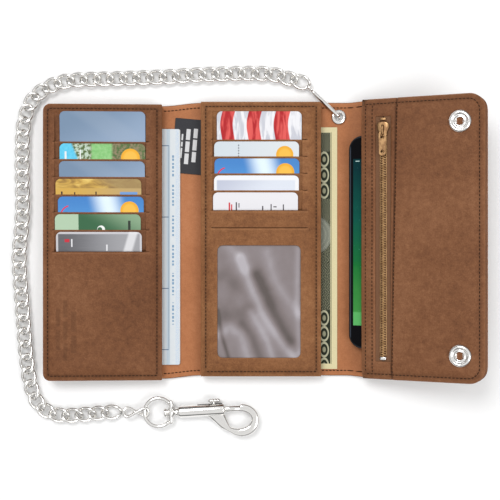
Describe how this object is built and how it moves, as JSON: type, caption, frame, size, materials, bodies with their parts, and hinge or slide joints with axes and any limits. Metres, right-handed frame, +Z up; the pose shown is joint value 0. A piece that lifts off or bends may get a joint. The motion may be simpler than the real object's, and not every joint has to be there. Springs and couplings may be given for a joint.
{
  "type": "chain wallet",
  "caption": "Open trifold leather wallet with card slits, a clear window, a zip pocket, a snap flap and a curb chain ending in a swivel bolt snap.",
  "frame": {"origin": "under the middle of the centre section, on the outer cover's flat underside", "axes": "+X from the centre towards the raised snap flap, +Y towards the chain eyelet, +Z up"},
  "size_m": [0.3005, 0.2393, 0.0428],
  "materials": {
    "brown_leather": "oiled, distressed, matt",
    "tan_lining": "smooth, matt",
    "clear_film": "clear, wrinkled",
    "nickel": "bright nickel plate",
    "zip_metal": "antique brass",
    "zip_tape": "woven",
    "card_plastic": "satin",
    "paper": "matt",
    "black_card": "matt",
    "phone_glass": "gloss"
  },
  "bodies": {
    "centre_section": {"centre_cover": "brown_leather", "centre_lining": "tan_lining", "centre_backing": "tan_lining", "centre_card_panel": "brown_leather", "id_window_film": "clear_film", "id_pocket_back": "tan_lining", "chain_eyelet": "nickel", "connector_link": "nickel", "chain_run": "nickel", "sewn_label": "black_card"},
    "left_leaf": {"left_cover": "brown_leather", "left_lining": "tan_lining", "left_backing": "tan_lining", "left_card_panel": "brown_leather", "upper_snap_stud": "nickel", "lower_snap_stud": "nickel"},
    "snap_flap": {"flap_cover": "brown_leather", "flap_lining": "tan_lining", "flap_pocket_face": "brown_leather", "zip_panel": "brown_leather", "flap_front": "brown_leather", "zipper_tape_left": "zip_tape", "zipper_tape_right": "zip_tape", "zipper_teeth_left": "zip_metal", "zipper_teeth_right": "zip_metal", "zipper_bottom_stop": "nickel", "zipper_top_stop": "zip_metal", "upper_snap_socket": "nickel", "lower_snap_socket": "nickel", "upper_snap_cap": "nickel", "lower_snap_cap": "nickel"},
    "centre_card_1": {"centre_card_1": "card_plastic"},
    "centre_card_2": {"centre_card_2": "card_plastic"},
    "centre_card_3": {"centre_card_3": "card_plastic"},
    "centre_card_4": {"centre_card_4": "card_plastic"},
    "centre_card_5": {"centre_card_5": "card_plastic"},
    "left_card_1": {"left_card_1": "card_plastic"},
    "left_card_2": {"left_card_2": "card_plastic"},
    "left_card_3": {"left_card_3": "card_plastic"},
    "left_card_4": {"left_card_4": "card_plastic"},
    "left_card_5": {"left_card_5": "card_plastic"},
    "left_card_6": {"left_card_6": "card_plastic"},
    "left_card_7": {"left_card_7": "card_plastic"},
    "banknote": {"banknote": "paper"},
    "cheque_booklet": {"cheque_booklet": "paper"},
    "phone": {"phone": "phone_glass"},
    "zipper_slider": {"zipper_slider": "zip_metal"},
    "zipper_pull": {"zipper_pull": "zip_metal"},
    "figure_eight_link": {"figure_eight_link": "nickel"},
    "swivel_ring": {"swivel_ring": "nickel"},
    "hook_body": {"hook_body": "nickel"},
    "trigger_bolt": {"trigger_bolt": "nickel"}
  },
  "joints": [
    {"name": "left_fold", "type": "hinge", "parent": "centre_section", "child": "left_leaf", "pos_m": [-0.0509, 0, 0.01205], "axis": [0, -1, 0], "range_deg": [-177.2, 2.8]},
    {"name": "flap_fold", "type": "hinge", "parent": "centre_section", "child": "snap_flap", "pos_m": [0.056, 0, 0.0193], "axis": [0, 1, 0], "range_deg": [-158, 22]},
    {"name": "centre_card_1_slide", "type": "slide", "parent": "centre_section", "child": "centre_card_1", "axis": [0, 0.9962, 0.0872], "range_m": [0, 0.03]},
    {"name": "centre_card_2_slide", "type": "slide", "parent": "centre_section", "child": "centre_card_2", "axis": [0, 0.9962, 0.0872], "range_m": [0, 0.03]},
    {"name": "centre_card_3_slide", "type": "slide", "parent": "centre_section", "child": "centre_card_3", "axis": [0, 0.9962, 0.0872], "range_m": [0, 0.03]},
    {"name": "centre_card_4_slide", "type": "slide", "parent": "centre_section", "child": "centre_card_4", "axis": [0, 0.9962, 0.0872], "range_m": [0, 0.03]},
    {"name": "centre_card_5_slide", "type": "slide", "parent": "centre_section", "child": "centre_card_5", "axis": [0, 0.9962, 0.0872], "range_m": [0, 0.03]},
    {"name": "left_card_1_slide", "type": "slide", "parent": "left_leaf", "child": "left_card_1", "axis": [0.0043, 0.9962, 0.0871], "range_m": [0, 0.03]},
    {"name": "left_card_2_slide", "type": "slide", "parent": "left_leaf", "child": "left_card_2", "axis": [0.0043, 0.9962, 0.0871], "range_m": [0, 0.03]},
    {"name": "left_card_3_slide", "type": "slide", "parent": "left_leaf", "child": "left_card_3", "axis": [0.0043, 0.9962, 0.0871], "range_m": [0, 0.03]},
    {"name": "left_card_4_slide", "type": "slide", "parent": "left_leaf", "child": "left_card_4", "axis": [0.0043, 0.9962, 0.0871], "range_m": [0, 0.03]},
    {"name": "left_card_5_slide", "type": "slide", "parent": "left_leaf", "child": "left_card_5", "axis": [0.0043, 0.9962, 0.0871], "range_m": [0, 0.03]},
    {"name": "left_card_6_slide", "type": "slide", "parent": "left_leaf", "child": "left_card_6", "axis": [0.0043, 0.9962, 0.0871], "range_m": [0, 0.03]},
    {"name": "left_card_7_slide", "type": "slide", "parent": "left_leaf", "child": "left_card_7", "axis": [0.0043, 0.9962, 0.0871], "range_m": [0, 0.03]},
    {"name": "banknote_slide", "type": "slide", "parent": "centre_section", "child": "banknote", "axis": [1, 0, 0], "range_m": [0, 0.002]},
    {"name": "booklet_slide", "type": "slide", "parent": "left_leaf", "child": "cheque_booklet", "axis": [0, 1, 0], "range_m": [-0.006, 0.01]},
    {"name": "phone_slide", "type": "slide", "parent": "snap_flap", "child": "phone", "axis": [0, 1, 0], "range_m": [-0.01, 0.007]},
    {"name": "zipper_slide", "type": "slide", "parent": "snap_flap", "child": "zipper_slider", "axis": [0, -1, 0], "range_m": [0, 0.125]},
    {"name": "zipper_pull_hinge", "type": "hinge", "parent": "zipper_slider", "child": "zipper_pull", "pos_m": [0.07586, 0.06665, 0.02085], "axis": [-0.9272, 0, -0.3746], "range_deg": [0, 90]},
    {"name": "link_swing", "type": "hinge", "parent": "centre_section", "child": "figure_eight_link", "pos_m": [-0.0882, -0.1115, 0.0042], "axis": [0, -1, 0], "range_deg": [0, 45]},
    {"name": "ring_swing", "type": "hinge", "parent": "figure_eight_link", "child": "swivel_ring", "pos_m": [-0.075, -0.1115, 0.0042], "axis": [0, -1, 0], "range_deg": [0, 60]},
    {"name": "hook_swivel", "type": "hinge", "parent": "swivel_ring", "child": "hook_body", "pos_m": [-0.058, -0.1115, 0.0042], "axis": [0.9981, 0.061, 0], "continuous": true},
    {"name": "trigger_slide", "type": "slide", "parent": "hook_body", "child": "trigger_bolt", "axis": [-0.9981, -0.061, 0], "range_m": [0, 0.007], "stiffness_N_per_m": 250, "springref_m": -0.008}
  ]
}
